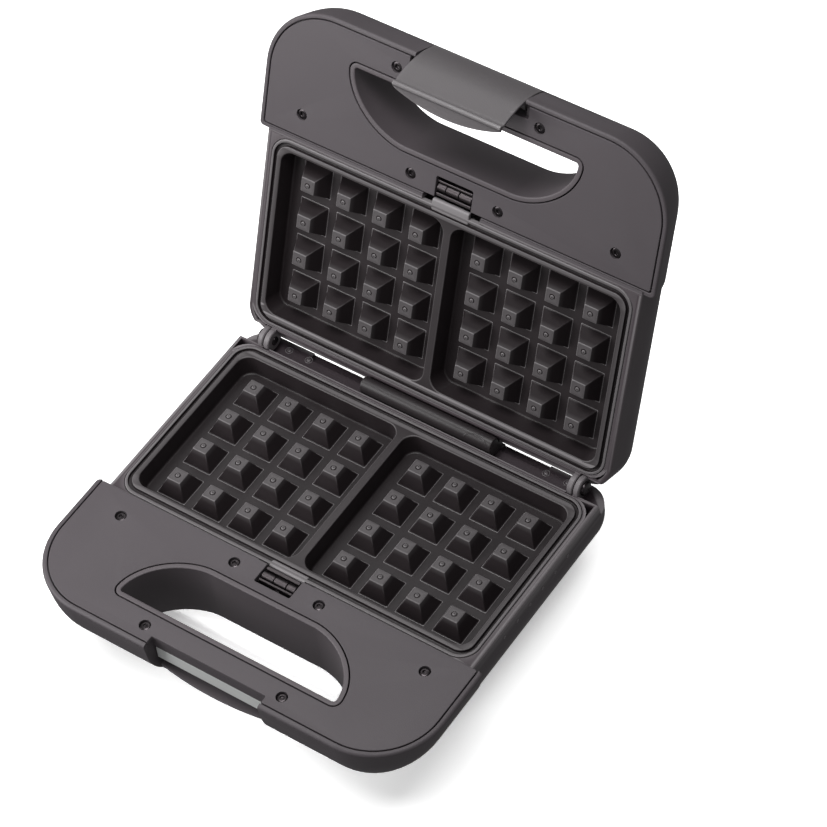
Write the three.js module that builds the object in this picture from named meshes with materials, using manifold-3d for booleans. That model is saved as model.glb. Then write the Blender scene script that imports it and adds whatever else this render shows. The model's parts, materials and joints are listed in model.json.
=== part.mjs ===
// Two-slice waffle maker, standing open: a base and a lid joined by two pinned
// hinges, each with a lift-out cooking plate, a grip with a finger opening, a
// plate-release clip and the heating parts inside. Millimetres, +Z up.
//
// Both halves are modelled in one "half frame": x across, y towards the hinge with
// the hinge axis at y = 0, z out of the cooking face with z = 0 on the plane where
// the halves meet. The base stands in that frame on its feet; the lid is the same
// frame turned over onto the base and then swung open about the hinge axis.

import * as THREE from 'three';
import { mergeVertices } from 'three/addons/utils/BufferGeometryUtils.js';
import Module from 'manifold-3d';

const wasm = await Module();
wasm.setup();

// ---------------------------------------------------------------- driving sizes

const OPEN_ANGLE = THREE.MathUtils.degToRad(111); // lid, measured from closed
const HINGE_Y = 48.4;           // hinge axis behind the middle of the footprint box
const GAP = 0.3;                // left between pieces that touch on the real thing

const HALF_DEPTH = 36;          // meeting plane to the outer face of a half
const FOOT_HEIGHT = 6;
const WALL = 2.4;

const PITCH = 22.5;             // waffle pattern
const ROWS = 4;
const COLUMNS = 4;
const GRID_Y = -64.1;           // middle of the pattern
const FIRST_COLUMN = 18.95;     // innermost column from the centre line
const PYRAMID_TOP = 4.1;        // half widths
const PYRAMID_FOOT = 8.1;
const PYRAMID_TOP_Z = -2.25;
const WELL_FLOOR_Z = -12;

const PLATE = { halfWidth: 109.4, front: -120.4, back: -7.9, corner: 11, top: -0.6, flange: 3, skin: 2.5 };
const WELL = { inner: 2.3, outer: 103.4, halfDepth: 49.3, corner: 7.5, draft: 1.2 };
const PAN_WALL = 2.6;

const COOKING_ZONE = { halfWidth: 113.6, front: -124.2, top: -1, corner: 14 };
const GRIP_ZONE = { halfWidth: 120.2, back: -121.8, corner: 39.5, wall: 3.2 };
const GRIP_PLATE = { halfWidth: 117, back: -121.6, corner: 36.5, thickness: 2.5 };
const PLATE_INSET = 3;          // grip plate's front edge behind the grip's front wall

const OPENING = { halfWidth: 69.1, front: -176.2, back: -139.4, frontCorner: 4.3 };
const OPENING_CURVE = { x: 37.5, exponent: 1.8 }; // its long back corners
const RING = 2.7;               // visible ring around the finger opening
const SLEEVE_WALL = 1.8;

const WINDOW = { halfWidth: 11, front: -134 };
const TAB = { halfWidth: 11.4, front: -121.4 };
const CLIP = { halfWidth: 10.3, front: -131.5, back: -122.5 };

const NOTCH_HALF_WIDTH = 35.2;  // latch recess in the base and in both grip plates
const NOTCH_BACK = -188.1;
const CATCH = { halfWidth: 34.6, back: -184.6, top: -7.6, bottom: -16.6 };
const SLOT_LIP = { halfWidth: 33, ends: -188.4, control: -194, back: -179, span: [-22.6, -21.2] };
const LATCH_HALF_WIDTH = 32;
const LATCH_PIN = { y: -192.2, z: -8, radius: 1.5 };

const HINGE_BARREL = 6.3;
const HINGE_RELIEF = 6.9;
const HINGE_PIN = 2.5;
const BASE_EAR = { from: 97.9, to: 101 };
const LID_EAR = { from: 94, to: 97.3 };
const COVER = { from: -36.4, to: 46, radius: 4 }; // wiring cover between the hinges
const REAR_NOTCH_END = 75;
const SEAT_LIP = { front: -123, back: -6.9, bottom: -6 }; // closes in round the cooking plate
const SIDE_PIPS = { count: 6, first: -94, pitch: 11.6, z: -7.4, radius: 1, proud: 0.4 };

const FOOT_X = 78;
const FOOT_Y = [-156, -8.5];
const FOOT_RADIUS = 8;

const GRIP_SCREWS = [[94.6, -135.7], [26.3, -129.8], [42.4, -184.4]];
const SCREW = { head: 2.8, headHeight: 0.9, seat: 1.4, below: 0.2, shank: 1.5 };
const BOSS_RADIUS = 4;
const BOTTOM_SCREWS = [[60, -120], [60, -20]];
const LAMPS = { x: 9, y: -131 };

const LARGE_CORNER_STEPS = 8;
const SMALL_CORNER_STEPS = 3;
const EDGE_STEPS = 6;
const ROUND_SIDES = 16;

// What differs between the two halves. A wall's section goes straight down to its
// shoulder and then curves in, while its draft leans it inwards all the way.
const BASE = {
  name: 'base',
  front: -195.6,
  gripTop: 1,
  gripShift: 0,
  screwShift: 0,
  rear: 8.6,
  deckZ: -8.3,
  gripSide: { shoulder: 3, round: 30, draft: 5.5 },
  gripFront: { shoulder: 10, round: 21, draft: 4 },
  cookingSide: { shoulder: 13.5, round: 18, draft: 0 },
  cookingRear: { shoulder: 13.5, round: 9, draft: 0 },
};
const LID = {
  name: 'lid',
  front: -198.3,
  gripTop: -1.8,
  gripShift: -2.5,
  screwShift: -1.5,
  rear: -1.2,
  deckZ: -3.8,
  gripSide: { shoulder: 4.5, round: 19, draft: 4.4 },
  gripFront: { shoulder: 14, round: 20, draft: 4.5 },
  cookingSide: { shoulder: 14, round: 14, draft: 0 },
  cookingRear: { shoulder: 14, round: 10, draft: 0 },
};

// ---------------------------------------------------------------- materials

const charcoal = new THREE.MeshStandardMaterial({ color: 0x4a484b, roughness: 0.55 });
const gripGrey = new THREE.MeshStandardMaterial({ color: 0x5a585b, roughness: 0.6 });
const latchGrey = new THREE.MeshStandardMaterial({ color: 0x6d6c6e, roughness: 0.5 });
const nonStick = new THREE.MeshStandardMaterial({ color: 0x393637, roughness: 0.45, metalness: 0.3 });
const steel = new THREE.MeshStandardMaterial({ color: 0xa9a9aa, roughness: 0.35, metalness: 1 });
const aluminised = new THREE.MeshStandardMaterial({ color: 0xb9bbbd, roughness: 0.4, metalness: 1 });
const catchGrey = new THREE.MeshStandardMaterial({ color: 0xa9aba9, roughness: 0.4 });
const rubber = new THREE.MeshStandardMaterial({ color: 0x1d1d1e, roughness: 0.85 });
const ceramic = new THREE.MeshStandardMaterial({ color: 0xe6e1d6, roughness: 0.6 });
const redLens = new THREE.MeshStandardMaterial({ color: 0xa01c14, roughness: 0.2 });
const greenLens = new THREE.MeshStandardMaterial({ color: 0x1f7a34, roughness: 0.2 });
const glass = new THREE.MeshStandardMaterial({ color: 0xf0d9c0, roughness: 0.1 });

// ---------------------------------------------------------------- solid helpers

/** A closed three.js geometry as a manifold solid. */
function solid(geometry) {
  const bare = geometry.clone();
  bare.deleteAttribute('normal');
  bare.deleteAttribute('uv');
  const merged = mergeVertices(bare, 1e-4);
  return new wasm.Manifold(new wasm.Mesh({
    numProp: 3,
    vertProperties: new Float32Array(merged.attributes.position.array),
    triVerts: new Uint32Array(merged.index.array),
  }));
}

/** A manifold solid as a three.js geometry. */
function geometryOf(body) {
  const mesh = body.getMesh();
  const geometry = new THREE.BufferGeometry();
  geometry.setAttribute('position', new THREE.BufferAttribute(mesh.vertProperties, 3));
  geometry.setIndex(new THREE.BufferAttribute(mesh.triVerts, 1));
  geometry.computeVertexNormals();
  return geometry;
}

function piece(name, body, material) {
  const mesh = new THREE.Mesh(geometryOf(body), material);
  mesh.name = name;
  return mesh;
}

/** Joins a list of solids. */
function join(bodies) {
  return bodies.reduce((sum, body) => sum.add(body));
}

/** Cuts every solid of a list out of one. */
function cut(body, tools) {
  return tools.reduce((rest, tool) => rest.subtract(tool), body);
}

/** A box between two corners. */
function block([x0, x1], [y0, y1], [z0, z1]) {
  const box = new THREE.BoxGeometry(x1 - x0, y1 - y0, z1 - z0);
  return solid(box.translate((x0 + x1) / 2, (y0 + y1) / 2, (z0 + z1) / 2));
}

/** A round bar along x, y or z, from one end to the other; centre holds the other two places. */
function rod(axis, radius, [from, to], centre, sides = ROUND_SIDES) {
  const bar = new THREE.CylinderGeometry(radius, radius, to - from, sides);
  const middle = (from + to) / 2;
  if (axis === 'x') return solid(bar.rotateZ(-Math.PI / 2).translate(middle, ...centre));
  if (axis === 'y') return solid(bar.translate(centre[0], middle, centre[1]));
  return solid(bar.rotateX(Math.PI / 2).translate(...centre, middle));
}

/** Points along a quarter circle or superellipse that starts at a multiple of 90 degrees. */
function quarter(x, y, radiusX, radiusY, quarterTurns, steps, exponent = 2) {
  const power = (value) => Math.sign(value) * Math.abs(value) ** (2 / exponent);
  return Array.from({ length: steps + 1 }, (_, i) => {
    const turn = (quarterTurns + i / steps) * (Math.PI / 2);
    const along = power(Math.cos(turn));
    const up = power(Math.sin(turn));
    return new THREE.Vector2(x + radiusX * along, y + radiusY * up);
  });
}

/** A rectangle outline in x and y, its front and back corners rounded each by their own radius. */
function roundedRectangle([x0, x1], [y0, y1], front, back = front, largest = Math.max(front, back)) {
  const steps = largest > 12 ? LARGE_CORNER_STEPS : SMALL_CORNER_STEPS;
  const [frontSteps, backSteps] = [front, back].map((radius) => (radius === 2 ? 1 : steps));
  return [
    ...quarter(x0 + front, y0 + front, front, front, 2, frontSteps),
    ...quarter(x1 - front, y0 + front, front, front, 3, frontSteps),
    ...quarter(x1 - back, y1 - back, back, back, 0, backSteps),
    ...quarter(x0 + back, y1 - back, back, back, 1, backSteps),
  ];
}

/** An outline in x and y, extruded from z0 to z1. */
function prism(points, [z0, z1]) {
  const slab = new THREE.ExtrudeGeometry(new THREE.Shape(points), { depth: z1 - z0, bevelEnabled: false });
  return solid(slab.translate(0, 0, z0));
}

/** An outline of [y, z] points, extruded across from x0 to x1. */
function profileAcross(points, [x0, x1]) {
  const shape = new THREE.Shape(points.map(([y, z]) => new THREE.Vector2(y, z)));
  const bar = new THREE.ExtrudeGeometry(shape, { depth: x1 - x0, bevelEnabled: false });
  return solid(bar.rotateX(Math.PI / 2).rotateZ(Math.PI / 2).translate(x0, 0, 0));
}

/** A closed skin through level outlines with equal point counts, highest level first. */
function loft(levels) {
  const count = levels[0].points.length;
  const positions = [];
  const faces = [];
  for (const { points, z } of levels) {
    for (const point of points) positions.push(point.x, point.y, z);
  }
  for (let level = 0; level + 1 < levels.length; level++) {
    for (let i = 0; i < count; i++) {
      const next = (i + 1) % count;
      const a = level * count;
      const b = a + count;
      faces.push(a + i, b + i, b + next);
      faces.push(a + i, b + next, a + next);
    }
  }
  const last = (levels.length - 1) * count;
  for (let i = 1; i + 1 < count; i++) {
    faces.push(0, i, i + 1);
    faces.push(last, last + i + 1, last + i);
  }
  const geometry = new THREE.BufferGeometry();
  geometry.setAttribute('position', new THREE.Float32BufferAttribute(positions, 3));
  geometry.setIndex(faces);
  return solid(geometry);
}

/** A tube of round section along a curve. */
function tube(curve, radius, steps, sides = 8) {
  const ring = Array.from({ length: sides }, (_, i) => {
    const turn = (i / sides) * 2 * Math.PI;
    return new THREE.Vector2(radius * Math.cos(turn), radius * Math.sin(turn));
  });
  const options = { steps, bevelEnabled: false, extrudePath: curve };
  return solid(new THREE.ExtrudeGeometry(new THREE.Shape(ring), options));
}

/** A coil spring along x or y; centre holds the other two places. */
function coil(axis, [from, to], radius, wire, turns, [first, second]) {
  const perTurn = 6;
  const points = [];
  for (let i = 0; i <= turns * perTurn; i++) {
    const turn = (i / perTurn) * 2 * Math.PI;
    const along = from + wire + ((to - from - 2 * wire) * i) / (turns * perTurn);
    const a = first + radius * Math.cos(turn);
    const b = second + radius * Math.sin(turn);
    points.push(axis === 'x' ? new THREE.Vector3(along, a, b) : new THREE.Vector3(a, along, b));
  }
  return tube(new THREE.CatmullRomCurve3(points), wire, turns * perTurn, 4);
}

// ---------------------------------------------------------------- housings

/** How far a wall's section lies inside its rim at a depth, or inside by the wall on a hollow. */
function inset(z, { shoulder, round, draft }, wall) {
  const share = Math.max(0, (-z - shoulder) / (HALF_DEPTH - wall - shoulder));
  const curve = (round - wall) * (1 - Math.sqrt(Math.max(0, 1 - share * share)));
  return wall + curve + (draft * Math.max(0, -z)) / HALF_DEPTH;
}

/** A housing zone's outer skin, or its hollow when wall is over 0. */
function zone(outline, wall) {
  const levels = [{ points: outline(0), z: 2 }];
  for (let i = 0; i <= EDGE_STEPS; i++) {
    const z = -(HALF_DEPTH - wall) * Math.sin((i / EDGE_STEPS) * (Math.PI / 2));
    levels.push({ points: outline(z), z });
  }
  return loft(levels);
}

function cookingZone(half, wall) {
  const front = COOKING_ZONE.front + wall;
  return zone((z) => {
    const side = inset(z, half.cookingSide, wall);
    return roundedRectangle(
      [-COOKING_ZONE.halfWidth + side, COOKING_ZONE.halfWidth - side],
      [front, half.rear - inset(z, half.cookingRear, wall)],
      2,
      COOKING_ZONE.corner - side / 4,
      COOKING_ZONE.corner,
    );
  }, wall);
}

function gripZone(half, wall) {
  const back = GRIP_ZONE.back - (wall > 0 ? 2.4 : 0);
  return zone((z) => {
    const side = inset(z, half.gripSide, wall);
    return roundedRectangle(
      [-GRIP_ZONE.halfWidth + side, GRIP_ZONE.halfWidth - side],
      [half.front + inset(z, half.gripFront, wall), back],
      Math.max(GRIP_ZONE.corner - side, GRIP_ZONE.corner / 4),
      2,
      GRIP_ZONE.corner,
    );
  }, wall);
}

/** The finger opening's outline, grown by an offset. */
function openingOutline(half, offset) {
  const x = OPENING.halfWidth + offset;
  const front = OPENING.front + half.gripShift - offset;
  const back = OPENING.back + half.gripShift + offset;
  const corner = OPENING.frontCorner + offset;
  const [curveX, curveY] = [OPENING_CURVE.x + offset, back - front - corner];
  const { exponent } = OPENING_CURVE;
  const long = (side, quarterTurns) => quarter(
    side * (x - curveX), back - curveY, curveX, curveY, quarterTurns, LARGE_CORNER_STEPS, exponent,
  );
  return [
    ...quarter(corner - x, front + corner, corner, corner, 2, SMALL_CORNER_STEPS),
    ...quarter(x - corner, front + corner, corner, corner, 3, SMALL_CORNER_STEPS),
    ...long(1, 0).slice(1),
    ...long(-1, 1).slice(0, -1),
  ];
}

/** Both sides' copies of a list of [x, y] places. */
function bothSides(places) {
  return places.flatMap(([x, y]) => [[-x, y], [x, y]]);
}

function gripScrewPlaces(half) {
  return bothSides(GRIP_SCREWS).map(([x, y]) => [x, y + half.screwShift]);
}

/** The grip plate's outline, grown by an offset. */
function gripPlateOutline(half, offset) {
  const { halfWidth, back, corner } = GRIP_PLATE;
  return roundedRectangle(
    [-halfWidth - offset, halfWidth + offset],
    [half.front + PLATE_INSET - offset, back + half.gripShift + offset],
    corner + offset,
    2,
  );
}

/** The outer shell that the two halves share, open on its cooking face. */
function housingShell(half) {
  const ceiling = half.gripTop;
  const above = [[-200, 200], [-400, 200]];
  const cooking = cookingZone(half, 0).subtract(block(...above, [COOKING_ZONE.top, 30]));
  const grip = gripZone(half, 0).subtract(block(...above, [ceiling, 30]));
  const outer = cooking.add(grip);

  const deck = block([-200, 200], [-7.1, 40], [half.deckZ - WALL, 30]);
  const cookingHollow = cookingZone(half, WALL).subtract(deck);
  const gripHollow = gripZone(half, GRIP_ZONE.wall);
  const passage = block([-96, 96], [-140, -110], [-27, -9]);
  const clipPassage = block([-17.5, 17.5], [-142, -110], [-27, 30]);
  const hollow = join([cookingHollow, gripHollow, passage, clipPassage]);

  const lipReach = COOKING_ZONE.halfWidth - WALL + 0.2;
  const seatReach = PLATE.halfWidth + GAP;
  const lipSpan = [SEAT_LIP.bottom, COOKING_ZONE.top];
  const lipOutline = roundedRectangle([-lipReach, lipReach], [SEAT_LIP.front, SEAT_LIP.back], 2, PLATE.corner);
  const lip = prism(lipOutline, lipSpan)
    .subtract(prism(roundedRectangle([-seatReach, seatReach], [PLATE.front - GAP, PLATE.back + GAP],
      PLATE.corner + GAP), [-10, 10]))
    .subtract(clipPassage);

  const bosses = gripScrewPlaces(half).map(([x, y]) =>
    rod('z', BOSS_RADIUS, [-HALF_DEPTH + 1, ceiling - GRIP_PLATE.thickness - GAP], [x, y]));
  const rests = bothSides([[106, -96], [106, -32]]).map(([x, y]) =>
    block([x - 3, x + 3], [y - 4, y + 4], [-HALF_DEPTH + 1, WELL_FLOOR_Z - PLATE.skin - 0.5]));
  const inside = join([...bosses, ...rests, lip]).intersect(outer);

  const deckCut = block([-200, 200], [-5.6, 40], [half.deckZ, 30]);
  const pilots = gripScrewPlaces(half).map(([x, y]) =>
    rod('z', SCREW.shank + GAP, [ceiling - 12, ceiling], [x, y], 8));
  const sleeveHole = prism(openingOutline(half, SLEEVE_WALL - RING + GAP), [-50, 10]);
  const plateSeat = prism(gripPlateOutline(half, GAP), [ceiling - GRIP_PLATE.thickness - GAP, 30]);
  return cut(outer.subtract(hollow).add(inside), [deckCut, sleeveHole, plateSeat, ...pilots]);
}

/** Cylinders around the hinge axis that clear the other half's turning parts. */
function hingeReliefs(spans) {
  return spans.map((span) => rod('x', HINGE_RELIEF, span, [0, 0], 24));
}

function earSpans({ from, to }, grow = 0) {
  return [[from - grow, to + grow], [-to - grow, -from + grow]];
}

/** The crescent lip below the latch's slot: it bows out of the recess in one long arc. */
function slotLip() {
  const { halfWidth, ends, control, back, span } = SLOT_LIP;
  const shape = new THREE.Shape();
  shape.moveTo(halfWidth, back);
  shape.lineTo(halfWidth, ends);
  shape.quadraticCurveTo(0, control, -halfWidth, ends);
  shape.lineTo(-halfWidth, back);
  return prism(shape.getPoints(8), span);
}

function baseHousing() {
  const recess = [-NOTCH_HALF_WIDTH, NOTCH_HALF_WIDTH];
  const pocketWall = block([-38, 38], [-196, -177.4], [-31, BASE.gripTop - GRIP_PLATE.thickness - GAP]);
  const pocket = [
    block(recess, [-210, NOTCH_BACK], [-28.5, 10]),
    block(recess, [-210, -179.6], [-28.5, CATCH.bottom - GAP]),
    block(recess, [-210, CATCH.back + GAP], [CATCH.bottom - GAP, CATCH.top + GAP]),
  ];
  const ears = earSpans(BASE_EAR).map((span) =>
    rod('x', HINGE_BARREL, span, [0, 0]).add(block(span, [-5.6, HINGE_BARREL], [-9.5, 0])));
  const pinHoles = earSpans(BASE_EAR, 1).map((span) => rod('x', HINGE_PIN + GAP, span, [0, 0]));
  const rearNotches = [[COVER.to + 0.6, REAR_NOTCH_END], [-REAR_NOTCH_END, COVER.from - 0.6]].map((span) =>
    block(span, [4, 20], [BASE.deckZ - 1.2, 10]));
  const inlet = rod('y', 5.3, [0, 20], [60, -22]);
  const footHoles = bothSides(FOOT_Y.map((y) => [FOOT_X, y])).map((place) =>
    rod('z', 2.5 + GAP, [-40, -30], place, 12));
  const bottomHoles = bothSides(BOTTOM_SCREWS).flatMap((place) => [
    rod('z', SCREW.shank + GAP, [-40, -20], place, 12),
    rod('z', SCREW.head + GAP, [-40, -HALF_DEPTH + 2.2], place, 12),
  ]);
  const bottomBosses = bothSides(BOTTOM_SCREWS).map((place) =>
    rod('z', BOSS_RADIUS + 1, [-HALF_DEPTH + 1, -31.5], place, 12));
  const pips = [];
  const pipEnd = COOKING_ZONE.halfWidth + SIDE_PIPS.proud;
  for (let i = 0; i < SIDE_PIPS.count; i++) {
    const place = [SIDE_PIPS.first + SIDE_PIPS.pitch * i, SIDE_PIPS.z];
    for (const span of [[-pipEnd, 1 - COOKING_ZONE.halfWidth], [COOKING_ZONE.halfWidth - 1, pipEnd]]) {
      pips.push(rod('x', SIDE_PIPS.radius, span, place, 6));
    }
  }
  const clearForCover = rod('x', COVER.radius + GAP, [COVER.from - GAP, COVER.to + GAP], [0, 0]);
  const clearForLid = hingeReliefs(earSpans(LID_EAR, 0.3));
  const body = cut(housingShell(BASE).add(pocketWall.intersect(gripZone(BASE, 0))).add(join(bottomBosses)), [
    ...pocket, clearForCover, ...clearForLid,
  ]);
  return piece('base_housing', cut(join([body, slotLip(), ...ears, ...pips]), [
    ...pinHoles, ...rearNotches, inlet, ...footHoles, ...bottomHoles,
  ]), charcoal);
}

function lidHousing() {
  const recess = [-LATCH_HALF_WIDTH - 0.6, LATCH_HALF_WIDTH + 0.6];
  const pocketWall = block([-38, 38], [-199, -184], [-23.5, LID.gripTop - GRIP_PLATE.thickness - GAP]);
  const pocket = block(recess, [-210, -186.5], [-20.5, 10]);
  const ears = earSpans(LID_EAR).map((span) => {
    const web = block(span, [-6.4, 0], [-13, 0]);
    return rod('x', HINGE_BARREL, span, [0, 0]).add(web);
  });
  const pinHoles = earSpans(LID_EAR, 1).map((span) => rod('x', HINGE_PIN + GAP + 0.1, span, [0, 0]));
  const latchPinHole = rod('x', LATCH_PIN.radius + GAP, [-37.2, 37.2], [LATCH_PIN.y, LATCH_PIN.z], 12);
  const lampHoles = [-LAMPS.x, LAMPS.x].map((x) => rod('z', 3.8, [-40, -30], [x, LAMPS.y], 12));
  const coverSpan = [-COVER.to - 0.6, -COVER.from + 0.6]; // the lid is turned over
  const coverRelief = rod('x', COVER.radius + 0.6, coverSpan, [0, 0], 24);
  const clearForBase = hingeReliefs(earSpans(BASE_EAR, 0.4));
  const shell = housingShell(LID).add(pocketWall.intersect(gripZone(LID, 0)));
  const body = cut(shell, [pocket, coverRelief, ...clearForBase]);
  return piece('lid_housing', cut(join([body, ...ears]), [
    ...pinHoles, latchPinHole, ...lampHoles,
  ]), charcoal);
}

// ---------------------------------------------------------------- grips

function gripPlate(half) {
  const span = [half.gripTop - GRIP_PLATE.thickness, half.gripTop];
  const through = [half.gripTop - 10, half.gripTop + 10];
  const opening = prism(openingOutline(half, GAP), through);
  const window = block([-WINDOW.halfWidth, WINDOW.halfWidth], [WINDOW.front + half.gripShift, 0], through);
  const notch = block([-NOTCH_HALF_WIDTH, NOTCH_HALF_WIDTH], [-210, NOTCH_BACK], through);
  const screwHoles = gripScrewPlaces(half).flatMap((place) => [
    rod('z', SCREW.shank + GAP, through, place, 12),
    rod('z', SCREW.head + GAP, [half.gripTop - SCREW.seat, half.gripTop + 5], place, 12),
  ]);
  const slab = prism(gripPlateOutline(half, 0), span);
  return piece(`${half.name}_grip_plate`, cut(slab, [opening, window, notch, ...screwHoles]), gripGrey);
}

/** The ring around the finger opening with the sleeve that lines it through the half. */
function gripSleeve(half) {
  const top = half.gripTop;
  const ring = prism(openingOutline(half, 0), [top - GRIP_PLATE.thickness, top]);
  const sleeve = prism(openingOutline(half, SLEEVE_WALL - RING), [-HALF_DEPTH, top - 1]);
  const hole = prism(openingOutline(half, -RING), [-50, 10]);
  return piece(`${half.name}_grip_sleeve`, ring.add(sleeve).subtract(hole), gripGrey);
}

/** A pan-head screw with its head's flat face at z = top; up is 1 where the head faces +z. */
function screw(name, [x, y], top, up, length) {
  const span = (from, to) => [top - up * from, top - up * to].sort((a, b) => a - b);
  const head = rod('z', SCREW.head, span(0, SCREW.headHeight), [x, y], 12);
  const shank = rod('z', SCREW.shank, span(SCREW.headHeight / 2, length), [x, y], 8);
  const socket = rod('z', 1.2, span(-1, SCREW.headHeight / 2), [x, y], 6);
  return piece(name, head.add(shank).subtract(socket), steel);
}

function gripScrews(half) {
  return gripScrewPlaces(half).map((place, i) =>
    screw(`${half.name}_grip_screw_${i + 1}`, place, half.gripTop - SCREW.below, 1, 9));
}

// ---------------------------------------------------------------- cooking plate

/** A pocket for one waffle: a well that narrows a little to its floor. */
function wellCut(side) {
  const outline = (draft) => {
    const span = [WELL.inner + draft, WELL.outer - draft];
    const across = side > 0 ? span : [-span[1], -span[0]];
    const depth = WELL.halfDepth - draft;
    return roundedRectangle(across, [GRID_Y - depth, GRID_Y + depth], WELL.corner);
  };
  return loft([{ points: outline(0), z: 5 }, { points: outline(0), z: PLATE.top },
    { points: outline(WELL.draft), z: WELL_FLOOR_Z }]);
}

function pyramid(x, y) {
  const height = PYRAMID_TOP_Z - WELL_FLOOR_Z + 1;
  const slope = (PYRAMID_FOOT - PYRAMID_TOP) / (PYRAMID_TOP_Z - WELL_FLOOR_Z);
  const foot = PYRAMID_FOOT + slope;
  const frustum = new THREE.CylinderGeometry(PYRAMID_TOP * Math.SQRT2, foot * Math.SQRT2, height, 4);
  return solid(frustum.rotateY(Math.PI / 4).rotateX(Math.PI / 2)
    .translate(x, y, WELL_FLOOR_Z - 1 + height / 2));
}

function cookingPlate(half) {
  const { halfWidth, front, back, corner, top, flange, skin } = PLATE;
  const rim = prism(roundedRectangle([-halfWidth, halfWidth], [front, back], corner), [top - flange, top]);
  const panWidth = WELL.outer + PAN_WALL;
  const panDepth = WELL.halfDepth + PAN_WALL;
  const pan = prism(
    roundedRectangle([-panWidth, panWidth], [GRID_Y - panDepth, GRID_Y + panDepth], 10),
    [WELL_FLOOR_Z - skin, top - 1],
  );
  const tabSpan = [TAB.front + half.gripShift, front + 2];
  const tab = block([-TAB.halfWidth + 1, TAB.halfWidth - 1], tabSpan, [top - flange, top]);
  const pyramids = [];
  for (const side of [-1, 1]) {
    for (let column = 0; column < COLUMNS; column++) {
      for (let row = 0; row < ROWS; row++) {
        const x = side * (FIRST_COLUMN + column * PITCH);
        pyramids.push(pyramid(x, GRID_Y + (row - (ROWS - 1) / 2) * PITCH));
      }
    }
  }
  const blank = cut(join([rim, pan, tab]), [wellCut(-1), wellCut(1)]);
  return piece(`${half.name}_cooking_plate`, join([blank, ...pyramids]), nonStick);
}

// ---------------------------------------------------------------- plate-release clip

function clip(half) {
  const [front, back] = [CLIP.front + half.gripShift, CLIP.back + half.gripShift];
  const across = [-CLIP.halfWidth, CLIP.halfWidth];
  const top = half.gripTop;
  const under = top - GRIP_PLATE.thickness - 0.5;
  const slide = block([-13, 13], [front, back], [under - 2.6, under]);
  const rearRib = block(across, [back - 1.9, back], [under - 1, top - 0.6]);
  const frontRib = block(across, [front, front + 1.4], [under - 1, top - 1]);
  const roller = rod('x', 2.4, across, [back - 4.7, top - 2.9], 12);
  return piece(`${half.name}_release_clip`, join([slide, rearRib, frontRib, roller]), steel);
}

function clipCarrier(half) {
  const top = half.gripTop - GRIP_PLATE.thickness - GAP;
  const [front, back] = [CLIP.front + half.gripShift - 7.1, CLIP.back + half.gripShift - 0.5];
  const floor = block([-17, 17], [front, back], [top - 7.8, top - 4]);
  const sides = [[-17, -13.6], [13.6, 17]].map((span) => block(span, [front, back], [top - 7, top]));
  const stop = block([-17, 17], [front, front + 1.4], [top - 7, top]);
  return piece(`${half.name}_clip_carrier`, join([floor, ...sides, stop]), charcoal);
}

function clipSpring(half) {
  const z = half.gripTop - GRIP_PLATE.thickness - 2.2;
  const span = [CLIP.front + half.gripShift - 5.4, CLIP.front + half.gripShift - GAP];
  return piece(`${half.name}_clip_spring`, coil('y', span, 1.5, 0.3, 4, [0, z]), steel);
}

// ---------------------------------------------------------------- heating parts

const ELEMENT = { halfWidth: 84, front: -96, back: -32, bend: 16, radius: 3.3, z: -18.4 };
const TRAY = { halfWidth: 101, front: -112, back: -15, floor: -27, rim: -17.6, metal: 0.8 };

/** The U-shaped tubular element: two legs towards the hinge and a run along the grip side. */
function heatingElement(half) {
  const { halfWidth: w, front, back, bend, radius, z } = ELEMENT;
  const path = new THREE.CurvePath();
  const at = (x, y) => new THREE.Vector3(x, y, z);
  path.add(new THREE.LineCurve3(at(-w, back), at(-w, front + bend)));
  path.add(new THREE.QuadraticBezierCurve3(at(-w, front + bend), at(-w, front), at(-w + bend, front)));
  path.add(new THREE.LineCurve3(at(-w + bend, front), at(w - bend, front)));
  path.add(new THREE.QuadraticBezierCurve3(at(w - bend, front), at(w, front), at(w, front + bend)));
  path.add(new THREE.LineCurve3(at(w, front + bend), at(w, back)));
  return piece(`${half.name}_heating_element`, tube(path, radius, 26), steel);
}

function reflectorTray(half) {
  const { halfWidth: w, front, back, floor, rim, metal } = TRAY;
  const outer = prism(roundedRectangle([-w, w], [front, back], 8), [floor, rim]);
  const inner = prism(
    roundedRectangle([-w + metal, w - metal], [front + metal, back - metal], 7.2),
    [floor + metal, rim + 5],
  );
  return piece(`${half.name}_reflector`, outer.subtract(inner), aluminised);
}

function electrics(half) {
  const under = TRAY.floor - GAP;
  const thermostat = rod('z', 9, [under - 4.5, under], [-30, -64], ROUND_SIDES);
  const fuse = rod('x', 2, [14, 34], [-40, under - 2.4], 8);
  return [
    piece(`${half.name}_thermostat`, thermostat, ceramic),
    piece(`${half.name}_thermal_fuse`, fuse, steel),
  ];
}

function baseElectrics() {
  const strip = block([40, 62], [-11.5, -3.5], [-30, -21]);
  const ways = [45, 51, 57].map((x) => rod('z', 1.4, [-26, -10], [x, -7.5], 8));
  const gland = rod('y', 5, [2, 10.4], [60, -22]).add(rod('y', 7, [9.5, 11.3], [60, -22]));
  const wireHole = rod('y', 3.3, [0, 20], [60, -22], 12);
  const loom = new THREE.CatmullRomCurve3([
    new THREE.Vector3(39, -7.5, -26),
    new THREE.Vector3(28, -8, -27),
    new THREE.Vector3(14, -8, -24),
    new THREE.Vector3(6, -8, -16),
  ]);
  return [
    piece('terminal_block', cut(strip, ways), ceramic),
    piece('cord_gland', gland.subtract(wireHole), rubber),
    piece('base_wiring', tube(loom, 2.2, 12), rubber),
  ];
}

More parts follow.
